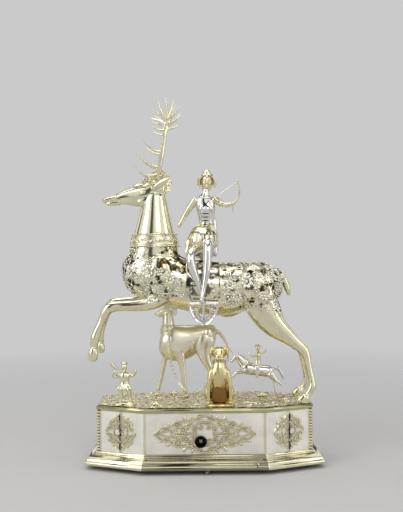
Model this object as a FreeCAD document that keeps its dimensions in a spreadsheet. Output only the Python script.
"""Table automaton: a stag and its rider on a clockwork case that rolls over the table."""

import FreeCAD, Part
import math
import os
import re
import Sketcher
from FreeCAD import Vector

os.makedirs("parts", exist_ok=True)
doc = FreeCAD.newDocument("table_automaton")
sheet = doc.addObject("Spreadsheet::Sheet", "sizes")

# Driving dimensions, in millimetres, degrees or counts. +X runs to the right of the front
# panel, +Y to the back, and +Z up from the table.
SIZES = {
    # the case, an octagon that is longer than it is deep
    "case_length": 217,
    "case_depth": 102,
    "front_length": 119,
    "chamfer_depth": 22,
    "panel_height": 40.2,
    "panel_wall": 1.2,
    "plinth_lift": 4.5,
    "plinth_height": 13.5,
    "plinth_proud": 11.75,
    "plinth_foot_wall": 1.45,
    "plinth_ledge": 1.7,
    "board_thick": 2.5,
    "board_gap": 0.2,
    "cornice_height": 5,
    "cornice_proud": 1.2,
    "cornice_width": 2.5,
    "ground_thick": 1.2,
    "ground_gap": 0.1,
    "strip_proud": 0.6,
    "corner_strip_width": 1.3,
    "beaded_strip_width": 4,
    "beaded_strip_thick": 0.9,
    # the applied ornament
    "ornament_thick": 1,
    "ornament_end_gap": 9,
    "ornament_edge_gap": 1.6,
    "diagonal_ornament_width": 33,
    "diagonal_ornament_height": 36,
    "end_ornament_width": 40,
    # the keyhole and the winding arbor
    "key_offset": 4,
    "key_height": 26,
    "key_hole_radius": 4.2,
    "key_bush_radius": 5.75,
    "key_bush_lip": 0.8,
    "key_bush_gap": 0.05,
    "winding_square": 3,
    "winding_recess": 2.6,
    # the movement between its two plates
    "movement_left": 32,
    "movement_right": 60,
    "movement_height": 49,
    "movement_gap": 44,
    "movement_plate_thick": 2,
    "movement_corner": 7,
    "pillar_radius": 2.3,
    "pillar_inset": 4.5,
    "nut_radius": 2.8,
    "nut_height": 1.8,
    "main_module": 1,
    "fly_module": 0.75,
    "great_teeth": 40,
    "wheel_teeth": 32,
    "pinion_leaves": 8,
    "wheel_thick": 1.6,
    "pinion_extra": 1.2,
    "arbor_radius": 1.5,
    "pivot_radius": 0.9,
    "pivot_gap": 0.05,
    "end_shake": 0.3,
    "second_angle": -11,
    "third_angle": 53,
    "fly_angle": -14,
    "great_wheel_y": 8,
    "second_wheel_y": 14,
    "third_wheel_y": -2,
    "drum_radius": 17,
    "drum_wall": 1,
    "drum_length": 23,
    "core_radius": 4.2,
    "core_gap": 0.6,
    "barrel_arbor_radius": 2.4,
    "spring_turns": 4,
    "spring_strip": 0.8,
    "spring_gap": 0.6,
    "ratchet_teeth": 24,
    "ratchet_radius": 8,
    "ratchet_depth": 1.1,
    "ratchet_thick": 1.6,
    "click_length": 13,
    "click_width": 3,
    "click_gap": 0.3,
    "click_angle": 62,
    "click_screw_radius": 1,
    "click_spring_thick": 0.5,
    "click_spring_length": 12,
    "vane_radius": 9,
    "vane_length": 12,
    "vane_thick": 0.5,
    # the road wheels, the steering wheel and the stop lever
    "road_wheel_radius": 14,
    "road_wheel_thick": 3,
    "road_wheel_y": 34,
    "axle_radius": 2,
    "slot_gap": 1.2,
    "steering_x": -80,
    "steering_wheel_radius": 7,
    "steering_wheel_thick": 2,
    "fork_gap": 0.3,
    "fork_wall": 1.4,
    "fork_width": 5,
    "fork_pin_radius": 0.9,
    "fork_stem_radius": 2,
    "steering_hole_radius": 9.5,
    "bridge_span": 26,
    "bridge_width": 8,
    "bridge_thick": 2,
    "bridge_foot": 5,
    "bridge_height": 12,
    "stop_pivot_x": 8,
    "stop_pivot_y": -38,
    "stop_shaft_radius": 1.5,
    "stop_bar_width": 3.5,
    "stop_bar_thick": 1.6,
    "stop_knob_x": 1.7,
    "stop_knob_radius": 1.6,
    "stop_arm_length": 17,
    "stop_arm_angle": 22,
    "running_gap": 0.3,
    # the stag: its elbows stand this high over the ground
    "stag_height": 100,
    "stag_y": -2,
    "stag_wall": 1.3,
    "spigot_length": 6,
    "spigot_gap": 0.3,
    "spigot_wall": 1.2,
    "neck_band_thick": 2,
    "drapery_thick": 1.5,
    "cloth_thick": 1.2,
    "head_lift_gap": 0.3,
    # the rider, from the toes to the armpits
    "rider_height": 100,
    "rider_y": -8,
    # the hound, from the ground to the brow
    "hound_height": 100,
    "hound_y": 22,
    "hound_wall": 1.2,
    "hound_band_thick": 1.2,
    "hound_band_height": 9,
    "chain_width": 2,
    # the small figures on the ground
    "seated_dog_height": 60,
    "seated_dog_x": 15,
    "seated_dog_edge": 16,
    "small_horse_length": 55,
    "small_horse_x": 58,
    "small_horse_edge": 19,
    "support_pin_radius": 0.8,
    "horn_blower_height": 45,
    "horn_blower_end": 27.5,
    "horn_blower_edge": 22,
    "creature_length": 13,
}
for row, (alias, number) in enumerate(SIZES.items(), start=1):
    sheet.set(f"A{row}", alias)
    sheet.set(f"B{row}", str(number))
    sheet.setAlias(f"B{row}", alias)
doc.recompute()


class Size:
    """The sheet's values, read by name."""


for alias in SIZES:
    setattr(Size, alias, float(sheet.get(alias)))

X_AXIS = Vector(1, 0, 0)
Y_AXIS = Vector(0, 1, 0)
Z_AXIS = Vector(0, 0, 1)
FULL_TURN = 2 * math.pi

# Levels that several pieces share.
PLINTH_TOP = Size.plinth_lift + Size.plinth_height
CORNICE_BOTTOM = PLINTH_TOP + Size.panel_height
GROUND_TOP = CORNICE_BOTTOM + Size.cornice_height
BOARD_TOP = Size.plinth_lift + Size.board_thick
# The small figures keep their distances from the case's ends and long edges.
SEATED_DOG_Y = Size.seated_dog_edge - Size.case_depth / 2
SMALL_HORSE_Y = Size.case_depth / 2 - Size.small_horse_edge
HORN_BLOWER_X = Size.horn_blower_end - Size.case_length / 2
HORN_BLOWER_Y = Size.horn_blower_edge - Size.case_depth / 2

# Levels as expressions that the document's features can be bound to.
PLINTH_TOP_TEXT = "(plinth_lift + plinth_height)"
GROUND_TEXT = "(plinth_lift + plinth_height + panel_height + cornice_height)"
BOARD_TEXT = "(plinth_lift + board_thick)"

# How far a corner runs along its mitre for each millimetre that the sides move out.
FRONT_MITRE_TEXT = "tan(atan(2 * chamfer_depth / (case_length - front_length)) / 2)"
FRONT_MITRE = math.tan(math.atan2(2 * Size.chamfer_depth, Size.case_length - Size.front_length) / 2)
END_MITRE_TEXT = f"((1 - {FRONT_MITRE_TEXT}) / (1 + {FRONT_MITRE_TEXT}))"
END_MITRE = (1 - FRONT_MITRE) / (1 + FRONT_MITRE)

pieces = []


def bind(text):
    """Turns an expression in the sizes' names into one that the document can bind."""
    return re.sub(r"[a-z_]{4,}", lambda word: prefixed(word.group()), text)


def prefixed(word):
    return "sizes." + word if word in SIZES else word


def value(text):
    """The number that an expression in the sizes' names gives."""
    result = sheet.evalExpression(text)
    return float(getattr(result, "Value", result))


def keep(piece, label):
    piece.Label = label
    pieces.append(piece)
    return piece


def keep_shape(label, shape):
    """Keeps a computed shape as a sub-part of its own."""
    piece = doc.addObject("Part::Feature", label)
    piece.Shape = shape
    return keep(piece, label)


# How many flats stand for a full turn on small, middling and large round pieces.
SMALL_SIDES = 12
MIDDLE_SIDES = 24
LARGE_SIDES = 32

# Sketches and the bodies made from them.
def new_body(label):
    return keep(doc.addObject("PartDesign::Body", label), label)


def new_sketch(body, role, distance="0"):
    """A sketch on one of the body's origin planes, moved along the plane's normal."""
    sketch = body.newObject("Sketcher::SketchObject", "outline")
    plane = next(item for item in body.Origin.OriginFeatures if item.Role == role)
    sketch.AttachmentSupport = [(plane, "")]
    sketch.MapMode = "FlatFace"
    sketch.setExpression("AttachmentOffset.Base.z", bind(distance))
    return sketch


def bind_place(sketch, geometry, point, across, up):
    """Binds one point of a sketch to two expressions, measured from the origin."""
    for kind, text in (("DistanceX", across), ("DistanceY", up)):
        constraint = Sketcher.Constraint(kind, -1, 1, geometry, point, value(text))
        index = sketch.addConstraint(constraint)
        sketch.setExpression(f"Constraints[{index}]", bind(text))


def add_outline(sketch, corners):
    """Draws a closed run of straight sides through corners given as expressions."""
    first = sketch.GeometryCount
    count = len(corners)
    places = [Vector(value(across), value(up), 0) for across, up in corners]
    for index, place in enumerate(places):
        line = Part.LineSegment(place, places[(index + 1) % count])
        sketch.addGeometry(line, False)
    for index in range(count):
        following = first + (index + 1) % count
        sketch.addConstraint(Sketcher.Constraint("Coincident", first + index, 2, following, 1))
    for index, (across, up) in enumerate(corners):
        bind_place(sketch, first + index, 1, across, up)


def add_circle(sketch, across, up, radius):
    centre = Vector(value(across), value(up), 0)
    index = sketch.addGeometry(Part.Circle(centre, Z_AXIS, value(radius)), False)
    bind_place(sketch, index, 3, across, up)
    constraint = sketch.addConstraint(Sketcher.Constraint("Radius", index, value(radius)))
    sketch.setExpression(f"Constraints[{constraint}]", bind(radius))


def add_broached_hole(sketch, across, up, radius):
    """A small bearing hole with many flats, which touch the circle of the radius."""
    step = 360 / SMALL_SIDES
    reach = f"(({radius}) / cos({step / 2} * 1deg))"
    corners = []
    for index in range(SMALL_SIDES):
        turn = f"({(index + 0.5) * step} * 1deg)"
        corners.append((f"{across} + {reach} * cos{turn}", f"{up} + {reach} * sin{turn}"))
    add_outline(sketch, corners)


def padded(label, role, distance, corners, circles, length):
    """A plate: an outline with round holes, drawn out along the plane's normal."""
    body = new_body(label)
    sketch = new_sketch(body, role, distance)
    add_outline(sketch, corners)
    for across, up, radius in circles:
        add_broached_hole(sketch, across, up, radius)
    pad = body.newObject("PartDesign::Pad", "plate")
    pad.Profile = sketch
    pad.setExpression("Length", bind(length))
    return body


def pocketed(body, role, distance, corners, circles, length):
    """Cuts an outline or round holes out of a body, against the plane's normal."""
    doc.recompute()
    before = body.Shape.Volume
    sketch = new_sketch(body, role, distance)
    if corners:
        add_outline(sketch, corners)
    for across, up, radius in circles:
        add_circle(sketch, across, up, radius)
    pocket = body.newObject("PartDesign::Pocket", "opening")
    pocket.Profile = sketch
    pocket.setExpression("Length", bind(length))
    doc.recompute()
    if body.Shape.Volume >= before:
        raise RuntimeError(f"{body.Label}: an opening cuts nothing")


def turned(label, profile, across="0", up="0"):
    """A piece turned about a line along Y, from a profile of radius and Y."""
    body = new_body(label)
    sketch = new_sketch(body, "XY_Plane")
    add_outline(sketch, profile)
    turning = body.newObject("PartDesign::Revolution", "turning")
    turning.Profile = sketch
    turning.ReferenceAxis = (sketch, ["V_Axis"])
    turning.Angle = 360
    body.setExpression("Placement.Base.x", bind(across))
    body.setExpression("Placement.Base.z", bind(up))
    return body


# The octagon of the case, moved out by an offset, as numbers and as expressions.
def octagon(offset, level):
    front = Size.front_length / 2 + offset * FRONT_MITRE
    side = Size.case_depth / 2 + offset
    end = Size.case_length / 2 + offset
    shoulder = Size.case_depth / 2 - Size.chamfer_depth + offset * END_MITRE
    quarter = ((front, side), (end, shoulder))
    corners = [(x, -y) for x, y in quarter] + [(x, y) for x, y in reversed(quarter)]
    corners += [(-x, y) for x, y in quarter] + [(-x, -y) for x, y in reversed(quarter)]
    return [Vector(x, y, level) for x, y in corners]


def octagon_text(offset):
    front = f"front_length / 2 + ({offset}) * {FRONT_MITRE_TEXT}"
    side = f"case_depth / 2 + ({offset})"
    end = f"case_length / 2 + ({offset})"
    shoulder = f"case_depth / 2 - chamfer_depth + ({offset}) * {END_MITRE_TEXT}"
    quarter = ((front, side), (end, shoulder))
    corners = [(x, f"-({y})") for x, y in quarter] + list(reversed(quarter))
    corners += [(f"-({x})", y) for x, y in quarter]
    corners += [(f"-({x})", f"-({y})") for x, y in reversed(quarter)]
    return corners


# Flat-sided solids built face by face, for carved and cast forms.
def facet(points):
    return Part.Face(Part.makePolygon([*points, points[0]]))


def closed_solid(faces):
    solid = Part.makeSolid(Part.makeShell(faces))
    if solid.Volume < 0:
        solid.reverse()
    return solid


def strip_facets(first, second, closed=True):
    """The triangles between two runs of as many points."""
    count = len(first)
    faces = []
    for index in range(count if closed else count - 1):
        following = (index + 1) % count
        faces.append(facet((first[index], first[following], second[following])))
        faces.append(facet((first[index], second[following], second[index])))
    return faces


def skin(rings):
    """A closed solid over a row of rings, each a flat run of as many points."""
    faces = [facet(rings[0]), facet(rings[-1])]
    for first, second in zip(rings, rings[1:]):
        faces += strip_facets(first, second)
    return closed_solid(faces)


def ring(centre, along, across, half_across, half_other, sides):
    """Points of an ellipse square to a direction, with one axis nearest to across."""
    along = Vector(along).normalize()
    side = across - along * across.dot(along)
    side.normalize()
    other = along.cross(side)
    points = []
    for index in range(sides):
        turn = FULL_TURN * (index + 0.5) / sides
        reach = side * (half_across * math.cos(turn)) + other * (half_other * math.sin(turn))
        points.append(centre + reach)
    return points


def limb(stations, origin, unit, across=Y_AXIS, sides=8, level_ends=False):
    """A body grown along a line of stations: place, half width across and half width.

    The stations are shares of the unit, from the origin. With level ends, the first and
    last rings lie level.
    """
    centres = [origin + Vector(*station[:3]) * unit for station in stations]
    rings = []
    last = len(stations) - 1
    for index, station in enumerate(stations):
        along = centres[min(index + 1, last)] - centres[max(index - 1, 0)]
        if level_ends and index in (0, last):
            along = Vector(0, 0, along.z)
        rings.append(ring(centres[index], along, across, station[3] * unit, station[4] * unit, sides))
    return skin(rings)


def joined(shapes):
    """One solid from shapes that run into each other."""
    return shapes[0].multiFuse(shapes[1:]) if len(shapes) > 1 else shapes[0]


def largest(shape):
    return max(shape.Solids, key=lambda solid: solid.Volume)


def mirrored(shape, level):
    """The shape on the other side of the plane Y = level."""
    return shape.mirror(Vector(0, level, 0), Y_AXIS)


# The plinth: height and how far its face stands out, as shares of its own sizes.
PLINTH_SHARES = ((1, 0), (1, 0.24), (0.87, 0.29), (0.82, 0.385), (0.67, 0.435), (0.545, 0.52),
                 (0.44, 0.64), (0.36, 0.7), (0.36, 0.815), (0.2, 0.875), (0.2, 1))
PLINTH_THROAT_SHARE = 0.9


def octagon_loft(levels):
    wires = []
    for offset, level in levels:
        corners = octagon(offset, level)
        wires.append(Part.makePolygon([*corners, corners[0]]))
    return Part.makeLoft(wires, True, True)


def make_plinth():
    """A moulded foot round the case, hollow, with a rebate for the base board below."""
    outside = octagon_loft([(share * Size.plinth_proud, Size.plinth_lift + rise * Size.plinth_height)
                            for share, rise in PLINTH_SHARES])
    foot = Size.plinth_proud - Size.plinth_foot_wall
    rebate = octagon_loft([(foot, Size.plinth_lift), (foot, BOARD_TOP)])
    throat_level = Size.plinth_lift + PLINTH_THROAT_SHARE * Size.plinth_height
    throat = octagon_loft([(foot - Size.plinth_ledge, Size.plinth_lift),
                           (foot - Size.plinth_ledge, BOARD_TOP),
                           (-Size.panel_wall, throat_level),
                           (-Size.panel_wall, PLINTH_TOP)])
    keep_shape("plinth", outside.cut(rebate).cut(throat))


def make_base_board():
    """A board in the plinth's rebate, cut through for the wheels and the stop lever."""
    edge = "plinth_proud - plinth_foot_wall - board_gap"
    board = padded("base_board", "XY_Plane", "plinth_lift", octagon_text(edge), [], "board_thick")
    half_long = "(road_wheel_radius + slot_gap)"
    inner = "(road_wheel_y - slot_gap)"
    outer = "(road_wheel_y + road_wheel_thick + slot_gap)"
    for side in ("-", ""):
        corners = [(f"{DRIVE_X_TEXT} - {half_long}", f"{side}{inner}"),
                   (f"{DRIVE_X_TEXT} + {half_long}", f"{side}{inner}"),
                   (f"{DRIVE_X_TEXT} + {half_long}", f"{side}{outer}"),
                   (f"{DRIVE_X_TEXT} - {half_long}", f"{side}{outer}")]
        pocketed(board, "XY_Plane", BOARD_TEXT, corners, [], "board_thick")
    holes = [("steering_x", "0", "steering_hole_radius"),
             ("stop_pivot_x", "stop_pivot_y", "stop_shaft_radius + pivot_gap")]
    pocketed(board, "XY_Plane", BOARD_TEXT, [], holes, "board_thick")


def make_panels():
    """Eight sheet panels, mitred where they meet; the keyhole goes through the front one."""
    inner = f"front_length / 2 - panel_wall * {FRONT_MITRE_TEXT}"
    for label, sign in (("front_panel", "-"), ("back_panel", "")):
        face = f"{sign}case_depth / 2"
        inside = f"{sign}(case_depth / 2 - panel_wall)"
        corners = [("-front_length / 2", face), ("front_length / 2", face),
                   (inner, inside), (f"-({inner})", inside)]
        panel = padded(label, "XY_Plane", PLINTH_TOP_TEXT, corners, [], "panel_height")
        if label == "front_panel":
            hole = ("-key_offset", "plinth_lift + key_height", "key_bush_radius + key_bush_gap")
            pocketed(panel, "XZ_Plane", "case_depth / 2", [], [hole], "panel_wall")
    outside = octagon(0, PLINTH_TOP)
    inside = octagon(-Size.panel_wall, PLINTH_TOP)
    rise = Vector(0, 0, Size.panel_height)
    sides = []
    for index in range(len(outside)):
        following = (index + 1) % len(outside)
        plan = (outside[index], outside[following], inside[following], inside[index])
        sides.append(facet(plan).extrude(rise))
    keep_shape("diagonal_panels", Part.makeCompound([sides[index] for index in DIAGONAL_SIDES]))
    keep_shape("end_panels", Part.makeCompound([sides[index] for index in END_SIDES]))


# The octagon's sides run from its front right corner towards the back.
DIAGONAL_SIDES = (0, 2, 4, 6)
END_SIDES = (1, 5)


def side_frame(index):
    """Middle, direction and outward normal of one side of the case."""
    corners = octagon(0, PLINTH_TOP + Size.panel_height / 2)
    start = corners[index]
    end = corners[(index + 1) % len(corners)]
    along = (end - start).normalize()
    return (start + end) / 2, along, along.cross(Z_AXIS), (end - start).Length


def on_side(index, outline, thick):
    """A flat plate lying on one side of the case, from an outline of along and up."""
    middle, along, normal, _ = side_frame(index)
    points = [middle + along * across + Z_AXIS * up for across, up in outline]
    return facet(points).extrude(normal * thick)


def make_strips():
    """Plain strips round the front and back corners, beaded ones at the outer corners."""
    rise = Vector(0, 0, Size.panel_height)
    flat = octagon(0, PLINTH_TOP)
    proud = octagon(Size.strip_proud, PLINTH_TOP)
    strips = []
    for index in (0, 3, 4, 7):
        before = (flat[index - 1] - flat[index]).normalize() * Size.corner_strip_width
        after = (flat[(index + 1) % len(flat)] - flat[index]).normalize() * Size.corner_strip_width
        plan = (flat[index], flat[index] + before, proud[index] + before,
                proud[index], proud[index] + after, flat[index] + after)
        strips.append(facet(plan).extrude(rise))
    keep_shape("corner_strips", Part.makeCompound(strips))
    beaded = []
    half = Size.panel_height / 2
    for index in DIAGONAL_SIDES:
        length = side_frame(index)[3]
        sign = 1 if index in (0, 4) else -1
        inner = sign * (length / 2 - Size.beaded_strip_width)
        outer = sign * length / 2
        outline = ((inner, -half), (outer, -half), (outer, half), (inner, half))
        beaded.append(on_side(index, outline, Size.beaded_strip_thick))
    keep_shape("beaded_strips", Part.makeCompound(beaded))


# One quarter of a lobed lozenge and its openings, as shares of half its length and height.
LOZENGE_SHARES = ((1, 0), (0.9, 0.2), (0.8, 0.16), (0.74, 0.42), (0.62, 0.58), (0.5, 0.52),
                  (0.42, 0.8), (0.26, 0.92), (0.16, 0.84), (0, 1))
LOZENGE_OPENING_SHARES = (((0.86, 0), (0.72, 0.1), (0.58, 0)),
                          ((0.66, 0.2), (0.62, 0.42), (0.46, 0.3)))
QUATREFOIL_SHARES = ((1, 0), (0.8, 0.24), (0.6, 0.26), (0.62, 0.5), (0.3, 0.6), (0.22, 0.82), (0, 1))
QUATREFOIL_OPENING_SHARES = (((0.8, 0), (0.56, 0.1), (0.36, 0)),)
QUARTER_SIGNS = ((1, 1), (-1, 1), (-1, -1), (1, -1))


def whole_outline(quarter, half_long, half_high):
    """Mirrors a quarter outline from the right tip to the top into a closed one."""
    points = [(x * half_long, y * half_high) for x, y in quarter]
    upper = points + [(-x, y) for x, y in reversed(points[:-1])]
    return upper + [(x, -y) for x, y in reversed(upper[1:-1])]


def pierced_plate(index, shares, openings, length, height):
    """A pierced ornament on one side of the case."""
    half_long = length / 2
    half_high = height / 2
    thick = Size.ornament_thick
    plate = on_side(index, whole_outline(shares, half_long, half_high), thick)
    holes = []
    for opening in openings:
        on_line = opening[0][1] == 0
        for sign_x, sign_y in QUARTER_SIGNS[:2] if on_line else QUARTER_SIGNS:
            corners = opening
            if on_line:
                corners = opening + tuple((x, -y) for x, y in reversed(opening[1:-1]))
            outline = [(sign_x * x * half_long, sign_y * y * half_high) for x, y in corners]
            holes.append(on_side(index, outline, thick))
    return plate.cut(Part.makeCompound(holes))


def make_ornaments():
    """Pierced scrollwork on every side of the case, round the keyhole at the front."""
    length = Size.front_length - 2 * Size.ornament_end_gap
    height = Size.panel_height - 2 * Size.ornament_edge_gap
    plates = [pierced_plate(index, LOZENGE_SHARES, LOZENGE_OPENING_SHARES, length, height)
              for index in (3, 7)]
    front = Vector(-Size.key_offset, -Size.case_depth / 2, Size.plinth_lift + Size.key_height)
    hole = Part.makeCylinder(Size.key_bush_radius + Size.key_bush_gap,
                             Size.ornament_thick, front, -Y_AXIS)
    keep_shape("side_scrollwork", Part.makeCompound([plates[0], plates[1].cut(hole)]))
    diagonals = [pierced_plate(index, QUATREFOIL_SHARES, QUATREFOIL_OPENING_SHARES,
                               Size.diagonal_ornament_width, Size.diagonal_ornament_height)
                 for index in DIAGONAL_SIDES]
    ends = [pierced_plate(index, QUATREFOIL_SHARES, QUATREFOIL_OPENING_SHARES,
                          Size.end_ornament_width, Size.diagonal_ornament_height)
            for index in END_SIDES]
    keep_shape("diagonal_ornaments", Part.makeCompound(diagonals + ends))


def make_keyhole_bush():
    face = "-case_depth / 2"
    lip = f"{face} - ornament_thick - key_bush_lip"
    profile = [("key_hole_radius", lip), ("key_bush_radius", lip),
               ("key_bush_radius", f"{face} + panel_wall"), ("key_hole_radius", f"{face} + panel_wall")]
    turned("keyhole_bush", profile, "-key_offset", "plinth_lift + key_height")


CORNICE_SHARES = ((0.35, 0), (1, 0.25), (1, 0.75), (0.35, 1))


def make_cornice():
    """A slim moulding round the top, rebated for the ground plate."""
    outside = octagon_loft([(share * Size.cornice_proud, CORNICE_BOTTOM + rise * Size.cornice_height)
                            for share, rise in CORNICE_SHARES])
    well = octagon_loft([(-Size.cornice_width, CORNICE_BOTTOM), (-Size.cornice_width, GROUND_TOP)])
    rebate = octagon_loft([(-Size.panel_wall, GROUND_TOP - Size.ground_thick),
                           (-Size.panel_wall, GROUND_TOP)])
    keep_shape("cornice", outside.cut(well).cut(rebate))


def make_ground_plate():
    edge = "-(panel_wall + ground_gap)"
    padded("ground_plate", "XY_Plane", f"{GROUND_TEXT} - ground_thick", octagon_text(edge), [],
           "ground_thick")


# The places of the arbors, as numbers and as expressions.
KEY_X_TEXT = "(-key_offset)"
KEY_Z_TEXT = "(plinth_lift + key_height)"
GREAT_CENTRES_TEXT = "(main_module * (great_teeth + pinion_leaves) / 2)"
WHEEL_CENTRES_TEXT = "(main_module * (wheel_teeth + pinion_leaves) / 2)"
FLY_CENTRES_TEXT = "(fly_module * (wheel_teeth + pinion_leaves) / 2)"
SECOND_X_TEXT = f"({KEY_X_TEXT} + {GREAT_CENTRES_TEXT} * cos(second_angle * 1deg))"
SECOND_Z_TEXT = f"({KEY_Z_TEXT} + {GREAT_CENTRES_TEXT} * sin(second_angle * 1deg))"
DRIVE_Z_TEXT = "road_wheel_radius"
DRIVE_X_TEXT = (f"({SECOND_X_TEXT} + sqrt({WHEEL_CENTRES_TEXT}^2"
                f" - ({SECOND_Z_TEXT} - {DRIVE_Z_TEXT})^2))")
THIRD_X_TEXT = f"({SECOND_X_TEXT} + {WHEEL_CENTRES_TEXT} * cos(third_angle * 1deg))"
THIRD_Z_TEXT = f"({SECOND_Z_TEXT} + {WHEEL_CENTRES_TEXT} * sin(third_angle * 1deg))"
FLY_X_TEXT = f"({THIRD_X_TEXT} + {FLY_CENTRES_TEXT} * cos(fly_angle * 1deg))"
FLY_Z_TEXT = f"({THIRD_Z_TEXT} + {FLY_CENTRES_TEXT} * sin(fly_angle * 1deg))"


def arbor_place(across, up):
    return Vector(value(across), 0, value(up))


KEY_PLACE = arbor_place(KEY_X_TEXT, KEY_Z_TEXT)
SECOND_PLACE = arbor_place(SECOND_X_TEXT, SECOND_Z_TEXT)
DRIVE_PLACE = arbor_place(DRIVE_X_TEXT, DRIVE_Z_TEXT)
THIRD_PLACE = arbor_place(THIRD_X_TEXT, THIRD_Z_TEXT)
FLY_PLACE = arbor_place(FLY_X_TEXT, FLY_Z_TEXT)
PLATE_FACE = Size.movement_gap / 2


def make_movement_plates():
    """Two plates that hold every arbor, with their top corners cut off."""
    left = "-movement_left"
    right = "movement_right"
    bottom = BOARD_TEXT
    top = f"({bottom} + movement_height)"
    corners = [(left, bottom), (right, bottom), (right, f"{top} - movement_corner"),
               (f"{right} - movement_corner", top), (f"{left} + movement_corner", top),
               (left, f"{top} - movement_corner")]
    pivot = "pivot_radius + pivot_gap"
    holes = [(KEY_X_TEXT, KEY_Z_TEXT, "barrel_arbor_radius + pivot_gap"),
             (SECOND_X_TEXT, SECOND_Z_TEXT, pivot), (THIRD_X_TEXT, THIRD_Z_TEXT, pivot),
             (FLY_X_TEXT, FLY_Z_TEXT, pivot),
             (DRIVE_X_TEXT, DRIVE_Z_TEXT, "axle_radius + pivot_gap")]
    padded("front_movement_plate", "XZ_Plane", "movement_gap / 2", corners, holes,
           "movement_plate_thick")
    padded("back_movement_plate", "XZ_Plane", "-(movement_gap / 2 + movement_plate_thick)",
           corners, holes, "movement_plate_thick")


def pillar_places():
    """Where the four pillars stand, from the corners of the plates."""
    bottom = BOARD_TOP + Size.pillar_inset
    top = BOARD_TOP + Size.movement_height - Size.movement_corner - Size.pillar_inset
    left = -Size.movement_left + Size.pillar_inset
    right = Size.movement_right - Size.pillar_inset
    return [Vector(x, 0, z) for x in (left, right) for z in (bottom, top)]


def hexagon(centre, along, across, radius, height):
    return facet(ring(centre, along, across, radius, radius, 6)).extrude(along * height)


def make_pillars_and_nuts():
    """Octagonal pillars between the plates, and the nuts that hold plates and hooves."""
    pillars = []
    nuts = []
    for place in pillar_places():
        start = place - Y_AXIS * PLATE_FACE
        outline = ring(start, Y_AXIS, X_AXIS, Size.pillar_radius, Size.pillar_radius, 8)
        pillars.append(facet(outline).extrude(Y_AXIS * Size.movement_gap))
        for sign in (-1, 1):
            outside = place + Y_AXIS * sign * (PLATE_FACE + Size.movement_plate_thick)
            nuts.append(hexagon(outside, Y_AXIS * sign, X_AXIS, Size.nut_radius, Size.nut_height))
    under = GROUND_TOP - Size.ground_thick
    for x, y in hoof_places():
        nuts.append(hexagon(Vector(x, y, under), -Z_AXIS, X_AXIS, Size.nut_radius, Size.nut_height))
    keep_shape("movement_pillars", Part.makeCompound(pillars))
    keep_shape("nuts", Part.makeCompound(nuts))


# Wheel teeth: how far they reach and how wide they are, as shares of module and pitch.
TOOTH_TOP_SHARE = 0.8
TOOTH_ROOT_SHARE = 1.15
ROOT_WIDTH_SHARE = 0.23
TIP_WIDTH_SHARE = 0.09


def gear_face(place, level, teeth, module, phase):
    """The flat outline of a straight-sided wheel or pinion."""
    teeth = int(teeth)
    pitch_radius = module * teeth / 2
    root = pitch_radius - TOOTH_ROOT_SHARE * module
    tip = pitch_radius + TOOTH_TOP_SHARE * module
    step = FULL_TURN / teeth
    centre = place + Y_AXIS * level
    points = []
    for tooth in range(teeth):
        middle = phase + tooth * step
        for radius, share in ((root, -ROOT_WIDTH_SHARE), (tip, -TIP_WIDTH_SHARE),
                              (tip, TIP_WIDTH_SHARE), (root, ROOT_WIDTH_SHARE)):
            turn = middle + share * step
            points.append(centre + Vector(radius * math.cos(turn), 0, radius * math.sin(turn)))
    return facet(points)


def meshing_phase(place, phase, teeth, other_place, other_teeth):
    """The phase that puts a gap of the other wheel on the first wheel's tooth."""
    line = other_place - place
    towards = math.atan2(line.z, line.x)
    off_line = phase - towards
    return towards + math.pi - off_line * teeth / other_teeth + math.pi / other_teeth


GREAT_PHASE = 0
SECOND_PHASE = meshing_phase(KEY_PLACE, GREAT_PHASE, Size.great_teeth,
                             SECOND_PLACE, Size.pinion_leaves)
DRIVE_PHASE = meshing_phase(SECOND_PLACE, SECOND_PHASE, Size.wheel_teeth,
                            DRIVE_PLACE, Size.pinion_leaves)
THIRD_PHASE = meshing_phase(SECOND_PLACE, SECOND_PHASE, Size.wheel_teeth,
                            THIRD_PLACE, Size.pinion_leaves)
FLY_PHASE = meshing_phase(THIRD_PLACE, THIRD_PHASE, Size.wheel_teeth,
                          FLY_PLACE, Size.pinion_leaves)


def rod(place, start, end, radius, sides=SMALL_SIDES):
    """A rod along Y from one level to another, turned to many narrow flats."""
    outline = ring(place + Y_AXIS * start, Y_AXIS, X_AXIS, radius, radius, sides)
    return facet(outline).extrude(Y_AXIS * (end - start))


def flats_round(place, start, end, radius, sides=SMALL_SIDES):
    """The room for a rod, or a wheel standing on a flat: its flats touch the circle."""
    return rod(place, start, end, radius / math.cos(math.pi / sides), sides)


def pinion_arbor(label, place, phase, module, driver_level):
    """An arbor with its pinion in one piece, between pivots that run in the plates."""
    inside = PLATE_FACE - Size.end_shake
    outside = PLATE_FACE + Size.movement_plate_thick
    start = driver_level - Size.pinion_extra / 2
    width = Size.wheel_thick + Size.pinion_extra
    pinion = gear_face(place, start, Size.pinion_leaves, module, phase).extrude(Y_AXIS * width)
    shape = joined([rod(place, -inside, inside, Size.arbor_radius),
                    rod(place, -outside, outside, Size.pivot_radius), pinion])
    keep_shape(label, shape)


def train_wheel(label, place, phase, module, level):
    wheel = gear_face(place, level, Size.wheel_teeth, module, phase).extrude(Y_AXIS * Size.wheel_thick)
    keep_shape(label, wheel.cut(rod(place, level, level + Size.wheel_thick, Size.arbor_radius)))


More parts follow.
